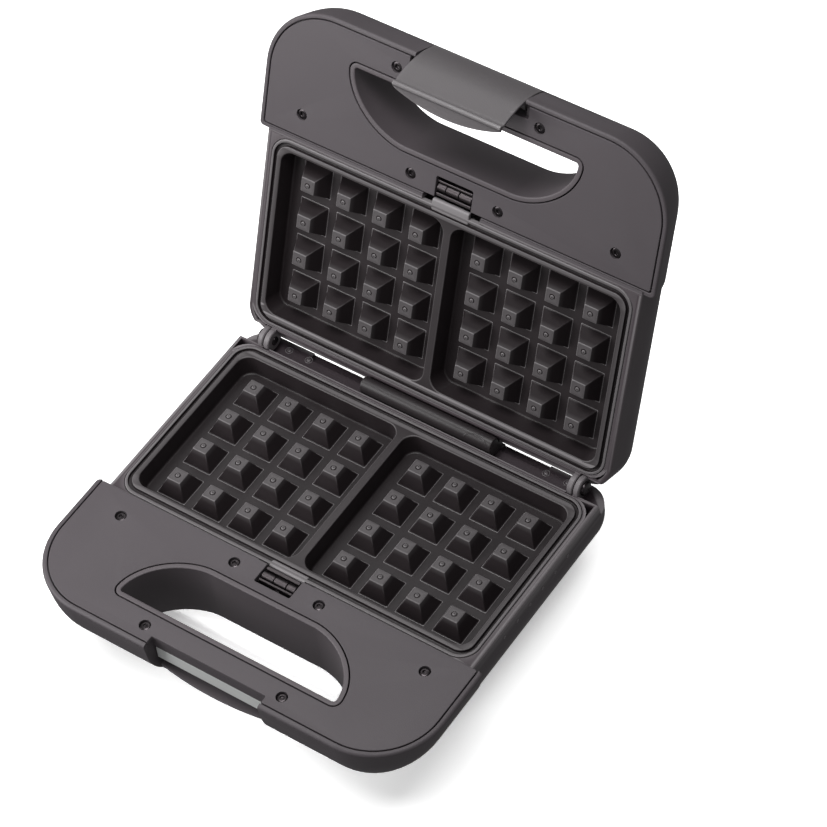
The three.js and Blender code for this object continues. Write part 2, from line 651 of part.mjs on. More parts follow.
function lidLamps() {
  const { x, y } = LAMPS;
  const lens = (name, side, material) =>
    piece(name, rod('z', 3.5, [-HALF_DEPTH - 0.8, -32], [side * x, y], 12), material);
  const lamp = (name, side) => piece(name, rod('z', 2, [-31.4, -25], [side * x, y], 8), glass);
  return [
    lens('power_lens', -1, redLens),
    lens('ready_lens', 1, greenLens),
    lamp('power_lamp', -1),
    lamp('ready_lamp', 1),
    piece('lamp_board', block([-16, 16], [y - 6, y + 6], [-24.5, -23]), rubber),
  ];
}

// ---------------------------------------------------------------- hinge, catch, feet

function hingePin(side) {
  const shank = side > 0 ? [93.4, 102] : [-102, -93.4];
  const head = side > 0 ? [101.4, 103] : [-103, -101.4];
  const body = rod('x', HINGE_PIN, shank, [0, 0]).add(rod('x', 4, head, [0, 0]));
  return piece(side > 0 ? 'hinge_pin_right' : 'hinge_pin_left', body, steel);
}

/** The barrel-topped cover over the wires that pass from the base to the lid. */
function wiringCover() {
  const across = [COVER.from, COVER.to];
  const barrel = rod('x', COVER.radius, across, [0, 0], 24);
  const skirt = block(across, [-COVER.radius, HINGE_BARREL + 1.4], [BASE.deckZ + GAP, -2]);
  const channel = block([COVER.from + 2, COVER.to - 2], [-2.4, 2.4], [-20, 0.6]);
  return piece('wiring_cover', barrel.add(skirt).subtract(channel), charcoal);
}

/** The pale catch strip across the front of the base's grip. */
function latchCatch() {
  const across = [-CATCH.halfWidth, CATCH.halfWidth];
  return piece('latch_catch', block(across, [NOTCH_BACK, CATCH.back], [CATCH.bottom, CATCH.top]), catchGrey);
}

/** The latch's shell: it bows outwards and turns in with a flange that hooks under the catch. */
function latchShell() {
  const section = [
    [-196.4, -17.9], [-197.3, -11], [-197.1, -5], [-196.2, 0.8], [-195, 5.1], [-193.1, 10],
    [-191.3, 13.6], [-189.7, 16.8], [-188.4, 18.2], [-178, 18.2], [-178, 17], [-188.2, 17],
    [-189.9, 13.2], [-191.7, 9.5], [-193.6, 4.6], [-194.8, 0.4], [-195.7, -5.4], [-195.9, -11],
    [-195.1, -17.6],
  ];
  return profileAcross(section, [-LATCH_HALF_WIDTH, LATCH_HALF_WIDTH]);
}

/** The flange is deepest in the middle, so its free edge is one long arc. */
function latchEdgeTrim() {
  const half = LATCH_HALF_WIDTH + 2;
  const shape = new THREE.Shape();
  shape.moveTo(half, -187.8);
  shape.lineTo(half, -170);
  shape.lineTo(-half, -170);
  shape.lineTo(-half, -187.8);
  shape.quadraticCurveTo(0, -174.2, half, -187.8);
  return prism(shape.getPoints(8), [16.9, 40]);
}

function latch() {
  const { y, z, radius } = LATCH_PIN;
  const lugs = [-28, 28].map((x) => {
    const span = [x - 3, x + 3];
    return rod('x', 3.2, span, [y, z]).add(block(span, [-196.4, y], [z - 3.2, z + 3.2]));
  });
  const pinHole = rod('x', radius + GAP, [-40, 40], [y, z], 12);
  return piece('latch', cut(join([latchShell(), ...lugs]), [pinHole, latchEdgeTrim()]), latchGrey);
}

function latchPin() {
  const { y, z, radius } = LATCH_PIN;
  return piece('latch_pin', rod('x', radius, [-36.8, 36.8], [y, z], 12), steel);
}

function latchSpring() {
  const { y, z } = LATCH_PIN;
  return piece('latch_spring', coil('x', [-6, 6], 2.3, 0.3, 7, [y, z]), steel);
}

function foot(name, x, y) {
  const profile = [[0, -42], [FOOT_RADIUS - 1, -42], [FOOT_RADIUS, -41], [FOOT_RADIUS, -36.3],
    [2.5, -36.3], [2.5, -31], [0, -31]].map(([r, z]) => new THREE.Vector2(r, z));
  const body = new THREE.LatheGeometry(profile, ROUND_SIDES);
  return piece(name, solid(body.rotateX(Math.PI / 2).translate(x, y, 0)), rubber);
}

// ---------------------------------------------------------------- assembly

/** The pieces that both halves have. */
function sharedPieces(half) {
  return [
    gripPlate(half), gripSleeve(half), ...gripScrews(half), cookingPlate(half), clip(half),
    clipCarrier(half), clipSpring(half), heatingElement(half), reflectorTray(half), ...electrics(half),
  ];
}

const base = new THREE.Group();
base.add(baseHousing(), ...sharedPieces(BASE), ...baseElectrics(), wiringCover(), latchCatch());
base.add(hingePin(-1), hingePin(1));
FOOT_Y.forEach((y, i) => {
  const end = i === 0 ? 'front' : 'rear';
  base.add(foot(`foot_${end}_left`, -FOOT_X, y), foot(`foot_${end}_right`, FOOT_X, y));
});
bothSides(BOTTOM_SCREWS).forEach((place, i) => {
  base.add(screw(`bottom_screw_${i + 1}`, place, -HALF_DEPTH + 0.5, -1, 6));
});

const lidFrame = new THREE.Group();
lidFrame.add(lidHousing(), ...sharedPieces(LID), ...lidLamps(), latch(), latchPin(), latchSpring());
lidFrame.rotation.y = Math.PI;

const lid = new THREE.Group();
lid.add(lidFrame);
lid.rotation.x = -OPEN_ANGLE;

const waffleMaker = new THREE.Group();
waffleMaker.add(base, lid);
waffleMaker.position.set(0, HINGE_Y, HALF_DEPTH + FOOT_HEIGHT);

export default waffleMaker;
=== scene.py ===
# A two-slice waffle maker standing open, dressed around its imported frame: moulded
# housings, grips, patterned cooking plates, clips, latch and hinge parts are built
# here as fine meshes. Shapes are in millimetres in a "half frame": x across, y
# towards the hinge with the hinge axis at y = 0, z out of the cooking face.

import json
import math

import bmesh
import bpy
from mathutils import Matrix, Vector
from mathutils.geometry import tessellate_polygon


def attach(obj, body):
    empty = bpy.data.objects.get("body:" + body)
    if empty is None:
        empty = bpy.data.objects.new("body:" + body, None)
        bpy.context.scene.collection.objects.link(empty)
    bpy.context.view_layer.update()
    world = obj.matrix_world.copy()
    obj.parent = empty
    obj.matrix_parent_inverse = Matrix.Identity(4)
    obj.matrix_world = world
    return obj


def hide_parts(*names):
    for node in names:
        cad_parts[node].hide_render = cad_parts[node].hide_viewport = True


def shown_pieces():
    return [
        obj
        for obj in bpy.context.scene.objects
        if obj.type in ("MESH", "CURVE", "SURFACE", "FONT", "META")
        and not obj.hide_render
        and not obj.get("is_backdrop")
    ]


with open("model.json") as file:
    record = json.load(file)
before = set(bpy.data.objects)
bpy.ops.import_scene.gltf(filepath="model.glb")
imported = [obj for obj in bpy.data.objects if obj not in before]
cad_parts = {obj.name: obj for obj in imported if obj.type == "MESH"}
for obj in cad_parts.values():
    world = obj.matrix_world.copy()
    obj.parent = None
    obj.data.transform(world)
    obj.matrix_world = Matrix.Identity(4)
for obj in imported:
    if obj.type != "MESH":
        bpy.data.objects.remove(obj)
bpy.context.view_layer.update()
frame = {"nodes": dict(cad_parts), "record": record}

MM = 0.001
JOINTS = {joint["name"]: joint for joint in frame["record"]["behaviour"]["joints"]}
HINGE = Vector(JOINTS["lid_hinge"]["pos_m"])
OPEN_ANGLE = math.radians(JOINTS["lid_hinge"]["range_deg"][1])

# ------------------------------------------------------------------ sizes

GAP = 0.3                                       # between neighbouring pieces
HALF_DEPTH = 36
WALL = 2.4
GRIP_WALL = 3.2
BEYOND = {"sides": (-200, 200), "front": -210, "above": 10}      # past the object, for cutting forms

# the cooking pattern
GRID_Y = -64.1
PITCH = 22.5
FIRST_COLUMN = 18.95
LUMP_TOP = -2.25
FLOOR_Z = -12
PAN_WALL = 2.6

# the case and the grip
PLATE = {"half_width": 109.4, "front": -120.4, "back": -7.9, "top": -0.6, "corner": 11}
WELL = {"inner": 2.3, "outer": 103.4, "half_depth": 49.3, "corner": 7.5, "draft": 1.2}
COOKING_ZONE = {"half_width": 113.6, "front": -124.2, "top": -1, "corner": 14}
GRIP_ZONE = {"half_width": 120.2, "back": -121.8, "corner": 39.5}
GRIP_PLATE = {"half_width": 117, "back": -121.6, "corner": 36.5, "thickness": 2.5, "inset": 3}
OPENING = {"half_width": 69.1, "front": -176.2, "back": -139.4, "corner": 4.3, "curve": 37.5, "power": 1.8}
RING = 2.7
SEAM = {"outside": 0.4, "opening": 0.75}         # dark lines round the grip plate
SEAT_LIP = {"half_width": 111.4, "front": -123, "back": -6.9, "bottom": -6, "corner": 11}
DECK = {"front": -5.6, "wall_front": -7.1, "back": 40, "above": 30}
OPEN_TOP = (3, 0.01)                             # top and rim of a form that hollows a case
OVER_BASE_GRIP = ((-118, 118), (-126, -121), (-1.2, 10))
WIRE_PASSAGE = ((-96, 96), (-140, -110), (-27, -9))
CLIP_PASSAGE = ((-17.5, 17.5), (-142, -110), (-27, 30))
PIPS = {"count": 6, "first": -94, "pitch": 11.6, "z": -7.4}
FEET = [(78, -156), (78, -8.5)]
BOTTOM_SCREWS = [(60, -120), (60, -20)]
CORD_HOLE = {"x": 60, "z": -22, "radius": 5.3}

# the latch and the clips
NOTCH = {"half_width": 35.2, "back": -188.1}
CATCH = {"half_width": 34.6, "back": -184.6, "top": -7.6, "bottom": -16.6}
BASE_POCKET = {"floor": -28.5, "back": -179.6, "wall": ((-38, 38), (-196, -177.4), (-31, -1.8))}
LID_POCKET = {"floor": -20.5, "back": -186.5, "wall": ((-38, 38), (-199, -184), (-23.5, -4.6))}
SLOT_LIP = {"half_width": 33, "ends": -188.4, "bulge": 2.8, "back": -179, "top": -21.2, "thickness": 1.4}
LATCH_HALF_WIDTH = 32
LATCH_PIN = {"y": -192.2, "z": -8}
LATCH_LUG_X = 28
WINDOW = {"half_width": 11, "front": -134}
CLIP = {"half_width": 10.3, "slide": 13, "front": -131.5, "back": -122.5, "roller": 2.4}
SCREWS = [(94.6, -135.7), (26.3, -129.8), (42.4, -184.4)]
LAMPS = {"x": 9, "y": -131}

# the hinge
BARREL = 6.3
RELIEF = 6.9
BASE_EAR = (97.9, 101)
LID_EAR = (94, 97.3)
COVER = (-36.4, 46)
COVER_RADIUS = 4
PEGS = [(88.1, 3.5), (75.2, 3.3)]
REAR_NOTCH_END = 75

# a half's side, front and rear sections are (shoulder, curve, draft), read by inset()
BASE = {
    "name": "base", "front": -195.6, "top": 1, "opening_shift": 0, "screw_shift": 0,
    "rear": 8.6, "deck": -8.3, "rims": (1.7, 1.8),
    "grip_side": (3, 30, 5.5), "grip_front": (10, 21, 4),
    "cooking_side": (13.5, 18, 0), "cooking_rear": (13.5, 9, 0),
    "to_world": Matrix.Translation(HINGE) @ Matrix.Scale(MM, 4),
}
LID = {
    "name": "lid", "front": -198.3, "top": -1.8, "opening_shift": -2.5, "screw_shift": -1.5,
    "rear": -1.2, "deck": -3.8, "rims": (1.2, 1.4),
    "grip_side": (4.5, 19, 4.4), "grip_front": (14, 20, 4.5),
    "cooking_side": (14, 14, 0), "cooking_rear": (14, 10, 0),
    "to_world": (Matrix.Translation(HINGE) @ Matrix.Rotation(-OPEN_ANGLE, 4, "X")
                 @ Matrix.Rotation(math.pi, 4, "Y") @ Matrix.Scale(MM, 4)),
}

CORNER_STEPS = 16
SMALL_STEPS = 6

# the view and the materials
CAMERA = {"azimuth": 40.60, "elevation": 51.064, "roll": -8.185, "away": (-1.42, -1.915, -82.0),
          "sensor": 36, "lens": 156.66747}
BLOTCH_SCALE = 38
ROUGHNESS_SPREAD = 0.03
# painted highlight on sharp edges: the pointiness range and the pale colour that edges are lightened towards
EDGE_HIGHLIGHT = {"from": 0.51, "to": 0.56, "colour": (0.36, 0.34, 0.35, 1)}
GRAIN_DEPTH = 0.0002
FLOOR_REACH = 4

# ------------------------------------------------------------------ mesh helpers


def mesh_from(verts, faces):
    mesh = bpy.data.meshes.new("mesh")
    mesh.from_pydata([tuple(v) for v in verts], [], faces)
    bm = bmesh.new()
    bm.from_mesh(mesh)
    bmesh.ops.remove_doubles(bm, verts=bm.verts, dist=1e-4)
    bmesh.ops.recalc_face_normals(bm, faces=bm.faces)
    bm.to_mesh(mesh)
    bm.free()
    return mesh


def open_skin(rings, loop=False):
    """Points and faces of a surface through rings of equal point counts, without caps."""
    count = len(rings[0])
    verts = [point for ring in rings for point in ring]
    faces = []
    for k in range(len(rings) if loop else len(rings) - 1):
        a, b = k * count, (k + 1) % len(rings) * count
        faces += [(a + i, a + (i + 1) % count, b + (i + 1) % count, b + i) for i in range(count)]
    return verts, faces


def skin(rings, loop=False):
    """A closed mesh through rings, capped unless the rings close on themselves."""
    verts, faces = open_skin(rings, loop)
    if not loop:
        count = len(rings[0])
        faces.append(tuple(reversed(range(count))))
        faces.append(tuple(range(len(verts) - count, len(verts))))
    return mesh_from(verts, faces)


def at(points, z):
    return [(x, y, z) for x, y in points]


def quarter(x, y, radius_x, radius_y, start, steps, power=2.0):
    """A quarter of an ellipse from the start-th quarter turn; a lower power flattens it."""
    points = []
    for i in range(steps + 1):
        turn = (start + i / steps) * math.pi / 2
        c, s = math.cos(turn), math.sin(turn)
        points.append((x + radius_x * math.copysign(abs(c) ** (2 / power), c),
                       y + radius_y * math.copysign(abs(s) ** (2 / power), s)))
    return points


def rounded(x0, x1, y0, y1, front, back=None, steps=SMALL_STEPS):
    """A rectangle's outline with one corner radius at the front and one at the back."""
    back = front if back is None else back
    return (quarter(x0 + front, y0 + front, front, front, 2, steps)
            + quarter(x1 - front, y0 + front, front, front, 3, steps)
            + quarter(x1 - back, y1 - back, back, back, 0, steps)
            + quarter(x0 + back, y1 - back, back, back, 1, steps))


def prism(points, z0, z1):
    return skin([at(points, z0), at(points, z1)])


def block(x, y, z):
    return prism([(x[0], y[0]), (x[1], y[0]), (x[1], y[1]), (x[0], y[1])], z[0], z[1])


def rod(axis, radius, span, centre, sides=48):
    """A round bar along x, y or z; centre holds its other two places."""
    rings = []
    for end in span:
        ring = []
        for i in range(sides):
            turn = i / sides * 2 * math.pi
            a, b = centre[0] + radius * math.cos(turn), centre[1] + radius * math.sin(turn)
            ring.append({"x": (end, a, b), "y": (a, end, b), "z": (a, b, end)}[axis])
        rings.append(ring)
    return skin(rings)


def turned(profile, centre, sides=40, axis="z"):
    """A lathe form of (radius, height) points about a line through centre along x or z."""
    rings = []
    for radius, height in profile:
        ring = []
        for i in range(sides):
            turn = i / sides * 2 * math.pi
            a, b = radius * math.cos(turn), radius * math.sin(turn)
            ring.append((centre[0] + a, centre[1] + b, centre[2] + height) if axis == "z"
                        else (centre[0] + height, centre[1] + a, centre[2] + b))
        rings.append(ring)
    return skin(rings)


def joined(meshes):
    """Several meshes as one, shell beside shell."""
    bm = bmesh.new()
    for mesh in meshes:
        bm.from_mesh(mesh)
    mesh = bpy.data.meshes.new("joined")
    bm.to_mesh(mesh)
    bm.free()
    return mesh


def applied(obj):
    """The mesh of an object with its modifiers applied; the object goes."""
    graph = bpy.context.evaluated_depsgraph_get()
    mesh = bpy.data.meshes.new_from_object(obj.evaluated_get(graph))
    bpy.data.objects.remove(obj)
    return mesh


def on_scene(mesh, name="work"):
    obj = bpy.data.objects.new(name, mesh)
    bpy.context.scene.collection.objects.link(obj)
    return obj


def boolean(mesh, tool, operation):
    work, other = on_scene(mesh), on_scene(tool)
    modifier = work.modifiers.new("boolean", "BOOLEAN")
    modifier.operation = operation
    modifier.solver = "MANIFOLD"
    modifier.object = other
    result = applied(work)
    bpy.data.objects.remove(other)
    return result


def cut(mesh, tools):
    for tool in tools:
        mesh = boolean(mesh, tool, "DIFFERENCE")
    return mesh


def union(meshes):
    result = meshes[0]
    for mesh in meshes[1:]:
        result = boolean(result, mesh, "UNION")
    return result


def piece(name, mesh, half, body, material, replaces=(), sharp=32):
    """Places a half-frame mesh in the world, on a body, with a material."""
    mesh.transform(half["to_world"])
    bm = bmesh.new()
    bm.from_mesh(mesh)
    bmesh.ops.remove_doubles(bm, verts=bm.verts, dist=2e-6)
    bmesh.ops.recalc_face_normals(bm, faces=bm.faces)
    limit = math.radians(sharp)
    for face in bm.faces:
        face.smooth = True
    for edge in bm.edges:
        edge.smooth = len(edge.link_faces) != 2 or edge.calc_face_angle(0) < limit
    bm.to_mesh(mesh)
    bm.free()
    mesh.name = name
    mesh.materials.clear()
    mesh.materials.append(material)
    obj = on_scene(mesh, name)
    normals = obj.modifiers.new("normals", "WEIGHTED_NORMAL")
    normals.keep_sharp = True
    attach(obj, body)
    if replaces:
        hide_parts(*replaces)
    return obj

# ------------------------------------------------------------------ materials


def srgb(value):
    value /= 255
    return value / 12.92 if value <= 0.04045 else ((value + 0.055) / 1.055) ** 2.4


def colour(red, green, blue):
    return (srgb(red), srgb(green), srgb(blue), 1)


def moulded(name, tone, roughness, grain, bump, metallic=0.0, spread=0.06, coat=0.0, specular=0.5, edge=0.0):
    """A procedural finish: grain as bump, faint blotches in colour and roughness, and a painted highlight
    that lightens sharp edges.
    """
    material = bpy.data.materials.new(name)
    material.use_nodes = True
    nodes, links = material.node_tree.nodes, material.node_tree.links
    shader = nodes["Principled BSDF"]
    shader.inputs["Metallic"].default_value = metallic
    shader.inputs["Coat Weight"].default_value = coat
    shader.inputs["Coat Roughness"].default_value = 0.25
    shader.inputs["Specular IOR Level"].default_value = specular
    place = nodes.new("ShaderNodeNewGeometry")
    blotches = nodes.new("ShaderNodeTexNoise")
    blotches.inputs["Scale"].default_value = BLOTCH_SCALE
    blotches.inputs["Detail"].default_value = 3
    links.new(place.outputs["Position"], blotches.inputs["Vector"])
    ramp = nodes.new("ShaderNodeMapRange")
    ramp.inputs["From Min"].default_value = 0.3
    ramp.inputs["From Max"].default_value = 0.7
    ramp.inputs["To Min"].default_value = roughness - ROUGHNESS_SPREAD
    ramp.inputs["To Max"].default_value = roughness + ROUGHNESS_SPREAD
    links.new(blotches.outputs["Fac"], ramp.inputs["Value"])
    links.new(ramp.outputs["Result"], shader.inputs["Roughness"])
    tint = nodes.new("ShaderNodeMix")
    tint.data_type = "RGBA"
    tint.inputs["A"].default_value = [c * (1 - spread) for c in tone[:3]] + [1]
    tint.inputs["B"].default_value = [min(1, c * (1 + spread)) for c in tone[:3]] + [1]
    links.new(blotches.outputs["Fac"], tint.inputs["Factor"])
    # painted highlight: sharp edges, picked out by pointiness, are blended towards a pale grey as if they
    # caught the light
    edge_highlight = nodes.new("ShaderNodeMapRange")
    edge_highlight.inputs["From Min"].default_value = EDGE_HIGHLIGHT["from"]
    edge_highlight.inputs["From Max"].default_value = EDGE_HIGHLIGHT["to"]
    edge_highlight.inputs["To Max"].default_value = edge
    links.new(place.outputs["Pointiness"], edge_highlight.inputs["Value"])
    highlighted_colour = nodes.new("ShaderNodeMix")
    highlighted_colour.data_type = "RGBA"
    highlighted_colour.inputs["B"].default_value = EDGE_HIGHLIGHT["colour"]
    links.new(edge_highlight.outputs["Result"], highlighted_colour.inputs["Factor"])
    links.new(tint.outputs["Result"], highlighted_colour.inputs["A"])
    links.new(highlighted_colour.outputs["Result"], shader.inputs["Base Color"])
    speckle = nodes.new("ShaderNodeTexNoise")
    speckle.inputs["Scale"].default_value = grain
    speckle.inputs["Detail"].default_value = 2
    links.new(place.outputs["Position"], speckle.inputs["Vector"])
    relief = nodes.new("ShaderNodeBump")
    relief.inputs["Strength"].default_value = bump
    relief.inputs["Distance"].default_value = GRAIN_DEPTH
    links.new(speckle.outputs["Fac"], relief.inputs["Height"])
    links.new(relief.outputs["Normal"], shader.inputs["Normal"])
    return material


# edge sets how strongly each finish's sharp edges are lightened by the painted edge highlight
MATERIALS = {
    "charcoal_plastic": moulded("charcoal_plastic", colour(66, 57, 62), 0.46, 2600, 0.15, edge=0.5),
    "grip_plastic": moulded("grip_plastic", colour(82, 76, 80), 0.55, 2300, 0.4, edge=0.06),
    "sleeve_plastic": moulded("sleeve_plastic", colour(88, 81, 85), 0.5, 2600, 0.12, edge=0.1),
    "cover_plastic": moulded("cover_plastic", colour(38, 32, 34), 0.4, 2600, 0.08, edge=0.1),
    "latch_plastic": moulded("latch_plastic", colour(94, 90, 92), 0.36, 1500, 0.35, specular=0.6, edge=0.2),
    "catch_plastic": moulded("catch_plastic", colour(218, 220, 219), 0.4, 2600, 0.08),
    "non_stick": moulded("non_stick", colour(44, 38, 40), 0.42, 1700, 0.15, spread=0.08, specular=0.4,
                         edge=0.8),
    "steel": moulded("steel", colour(150, 150, 152), 0.32, 1500, 0.1, metallic=1.0),
    "clip_steel": moulded("clip_steel", colour(84, 79, 81), 0.4, 1500, 0.1, metallic=1.0),
    "dark_steel": moulded("dark_steel", colour(60, 56, 58), 0.24, 1500, 0.1, metallic=0.9),
    "aluminised": moulded("aluminised", colour(176, 178, 180), 0.38, 900, 0.2, metallic=1.0),
    "rubber": moulded("rubber", colour(34, 34, 35), 0.8, 1200, 0.4),
    "ceramic": moulded("ceramic", colour(226, 220, 208), 0.6, 1100, 0.3),
    "red_lens": moulded("red_lens", colour(150, 26, 18), 0.16, 700, 0.05, coat=0.6),
    "green_lens": moulded("green_lens", colour(28, 112, 48), 0.16, 700, 0.05, coat=0.6),
    "lamp_glass": moulded("lamp_glass", colour(226, 198, 168), 0.12, 600, 0.05, coat=0.5),
}

SLOTS = {row["node"]: row["material_slot"] for row in frame["record"]["subparts"]}
for node in frame["nodes"].values():
    node.data.materials.clear()
    node.data.materials.append(MATERIALS[SLOTS[node.name]])

# ------------------------------------------------------------------ shared forms


def smooth(points, steps=6):
    """More points along an open line, on a Catmull-Rom curve through it."""
    ends = [points[0]] + list(points) + [points[-1]]
    curve = []
    for k in range(1, len(ends) - 2):
        before, a, b, after = (Vector(ends[k + i]) for i in (-1, 0, 1, 2))
        for i in range(steps):
            t = i / steps
            curve.append(0.5 * (2 * a + (b - before) * t + (2 * before - 5 * a + 4 * b - after) * t ** 2
                                + (3 * a - before - 3 * b + after) * t ** 3))
    return [tuple(v) for v in curve] + [tuple(points[-1])]


def shrunk(section, distance):
    """A closed outline with each side moved inwards."""
    points = [Vector(p) for p in section]
    count = len(points)
    area = sum(points[i - 1].x * points[i].y - points[i].x * points[i - 1].y for i in range(count))
    turn = 1 if area > 0 else -1
    moved = []
    for i in range(count):
        one = (points[i] - points[i - 1]).normalized()
        two = (points[(i + 1) % count] - points[i]).normalized()
        normal = Vector((-one.y - two.y, one.x + two.x)) * turn
        scale = max(0.35, (1 + one.dot(two)) / 2)
        if normal.length > 1e-6:
            normal = normal.normalized() / math.sqrt(scale)
        moved.append(points[i] + normal * distance)
    return [tuple(p) for p in moved]


def pillow(section, x0, x1, radius, steps=4):
    """A (y, z) section carried across from x0 to x1, its two ends rounded."""
    rings = []
    for end, inward, order in ((x0, 1, range(steps + 1)), (x1, -1, range(steps, -1, -1))):
        for i in order:
            turn = i / steps * math.pi / 2
            x = end + inward * radius * (1 - math.cos(turn))
            rings.append([(x, y, z) for y, z in shrunk(section, radius * (1 - math.sin(turn)))])
    return skin(rings)


def slab(outline, top, thickness, round_off, steps=4):
    """A flat piece whose upper edge is rounded; outline takes the offset outwards."""
    rings = [at(outline(0), top - thickness)]
    for i in range(steps + 1):
        turn = i / steps * math.pi / 2
        rings.append(at(outline(-round_off * (1 - math.cos(turn))), top - round_off * (1 - math.sin(turn))))
    return skin(rings)


def flared(outline, bottom, top, round_off, steps=4):
    """A cutting form that leaves a rounded edge where it comes out at the top."""
    rings = [at(outline(0), bottom)]
    for i in range(steps + 1):
        turn = i / steps * math.pi / 2
        rings.append(at(outline(round_off * (1 - math.cos(turn))), top - round_off * (1 - math.sin(turn))))
    rings.append(at(outline(round_off), top + 20))
    return skin(rings)


def inset(z, section, wall=0.0):
    """How far a wall's section lies inside its rim at a depth."""
    shoulder, curve, draft = section
    share = max(0, (-z - shoulder) / (HALF_DEPTH - wall - shoulder))
    bend = (curve - wall) * (1 - math.sqrt(max(0, 1 - share * share)))
    return wall + bend + draft * max(0, -z) / HALF_DEPTH


def both(places):
    return [(side * x, y) for x, y in places for side in (-1, 1)]


def screw_places(half):
    return [(x, y + half["screw_shift"]) for x, y in both(SCREWS)]


def opening_outline(half, offset):
    """The finger opening: small front corners and two long, slow back curves."""
    x = OPENING["half_width"] + offset
    front = OPENING["front"] + half["opening_shift"] - offset
    back = OPENING["back"] + half["opening_shift"] + offset
    corner = OPENING["corner"] + offset
    curve_x, curve_y = OPENING["curve"] + offset, back - front - corner
    right = quarter(x - curve_x, back - curve_y, curve_x, curve_y, 0, CORNER_STEPS, OPENING["power"])
    left = quarter(curve_x - x, back - curve_y, curve_x, curve_y, 1, CORNER_STEPS, OPENING["power"])
    return (quarter(corner - x, front + corner, corner, corner, 2, SMALL_STEPS)
            + quarter(x - corner, front + corner, corner, corner, 3, SMALL_STEPS)
            + right[1:] + left[:-1])


def grip_plate_outline(half, offset):
    corner = GRIP_PLATE["corner"] + offset
    return rounded(-GRIP_PLATE["half_width"] - offset, GRIP_PLATE["half_width"] + offset,
                   half["front"] + GRIP_PLATE["inset"] - offset,
                   GRIP_PLATE["back"] + half["opening_shift"] + offset, corner, 1.2, CORNER_STEPS)

# ------------------------------------------------------------------ housings


def zone(outline, top, rim, wall=0.0):
    """A housing zone from its rounded rim down; outline takes a depth and an extra inset."""
    rings = []
    for i in range(7):
        turn = i / 6 * math.pi / 2
        z = top - rim * (1 - math.cos(turn))
        rings.append(at(outline(z, rim * (1 - math.sin(turn))), z))
    for i in range(1, 19):
        z = -(HALF_DEPTH - wall) * math.sin(i / 18 * math.pi / 2)
        if z < top - rim - 0.3:
            rings.append(at(outline(z, 0), z))
    return skin(rings)


def cooking_zone(half, top, rim, wall=0.0):
    def outline(z, extra):
        side = inset(z, half["cooking_side"], wall) + extra
        rear = inset(z, half["cooking_rear"], wall) + extra
        reach = COOKING_ZONE["half_width"] - side
        return rounded(-reach, reach, COOKING_ZONE["front"] + wall, half["rear"] - rear,
                       2, COOKING_ZONE["corner"] - side / 4, CORNER_STEPS)
    return zone(outline, top, rim, wall)


def grip_zone(half, top, rim, wall=0.0):
    def outline(z, extra):
        side = inset(z, half["grip_side"], wall) + extra
        reach = GRIP_ZONE["half_width"] - side
        corner = max(GRIP_ZONE["corner"] - side, GRIP_ZONE["corner"] / 4)
        front = half["front"] + inset(z, half["grip_front"], wall) + extra
        back = GRIP_ZONE["back"] - (2.4 if wall > 0 else 0)
        return rounded(-reach, reach, front, back, corner, 2, CORNER_STEPS)
    return zone(outline, top, rim, wall)


def spans(span, grow=0.0):
    return [(span[0] - grow, span[1] + grow), (-span[1] - grow, -span[0] + grow)]


def ear(span, web_y, web_z):
    """A hinge knuckle: a thin round disc with softened edges on its web."""
    edge = 0.5
    disc = turned([(BARREL - edge, span[0]), (BARREL, span[0] + edge), (BARREL, span[1] - edge),
                   (BARREL - edge, span[1])], (0, 0, 0), 48, "x")
    return union([disc, block((span[0] + 0.2, span[1] - 0.2), web_y, web_z)])


def reliefs(places):
    return [rod("x", RELIEF, span, (0, 0)) for span in places]


def shell(half):
    """The case of a half: both zones, hollow, with its deck, finger hole and grip-plate seat."""
    wide = BEYOND["sides"]
    cooking_rim, grip_rim = half["rims"]
    cooking = cooking_zone(half, COOKING_ZONE["top"], cooking_rim)
    grip = grip_zone(half, half["top"], grip_rim)
    deck_guard = block(wide, (DECK["wall_front"], DECK["back"]), (half["deck"] - WALL, DECK["above"]))
    cooking_hollow = boolean(cooking_zone(half, *OPEN_TOP, WALL), deck_guard, "DIFFERENCE")
    grip_hollow = grip_zone(half, *OPEN_TOP, GRIP_WALL)
    seat = half["top"] - GRIP_PLATE["thickness"] - GAP
    passages = [block(*WIRE_PASSAGE), block(*CLIP_PASSAGE)]
    body = cut(union([cooking, grip]), [cooking_hollow, grip_hollow] + passages)
    reach = PLATE["half_width"] + GAP

    def seat_outline(offset):
        return rounded(-reach - offset, reach + offset, PLATE["front"] - GAP - offset,
                       PLATE["back"] + GAP + offset, PLATE["corner"] + GAP + offset, None, CORNER_STEPS)

    lip_reach = SEAT_LIP["half_width"]
    lip_outline = rounded(-lip_reach, lip_reach, SEAT_LIP["front"], SEAT_LIP["back"], 2, SEAT_LIP["corner"])
    lip = prism(lip_outline, SEAT_LIP["bottom"], COOKING_ZONE["top"])
    lip = cut(lip, [flared(seat_outline, -10, COOKING_ZONE["top"], 0.35), passages[1]])
    body = union([body, lip])
    wells = [block(wide, (DECK["front"], DECK["back"]), (half["deck"], DECK["above"])),
             prism(opening_outline(half, -0.6), -50, 10),
             flared(lambda offset: grip_plate_outline(half, GAP + offset), seat, half["top"], 0.4)]
    return cut(body, wells)


def two_parts(half, mesh, name, body):
    """A case is dark round the cooking plate and paler on the grip."""
    for part, keep_back, slot in (("cooking", True, "charcoal_plastic"), ("grip", False, "grip_plastic")):
        bm = bmesh.new()
        bm.from_mesh(mesh)
        bmesh.ops.bisect_plane(bm, geom=bm.verts[:] + bm.edges[:] + bm.faces[:], dist=1e-5,
                               plane_co=(0, GRIP_ZONE["back"] + 0.02, 0), plane_no=(0, 1, 0),
                               clear_inner=keep_back, clear_outer=not keep_back)
        half_mesh = bpy.data.meshes.new(part)
        bm.to_mesh(half_mesh)
        bm.free()
        piece(f"{name}_{part}", half_mesh, half, body, MATERIALS[slot], [name])


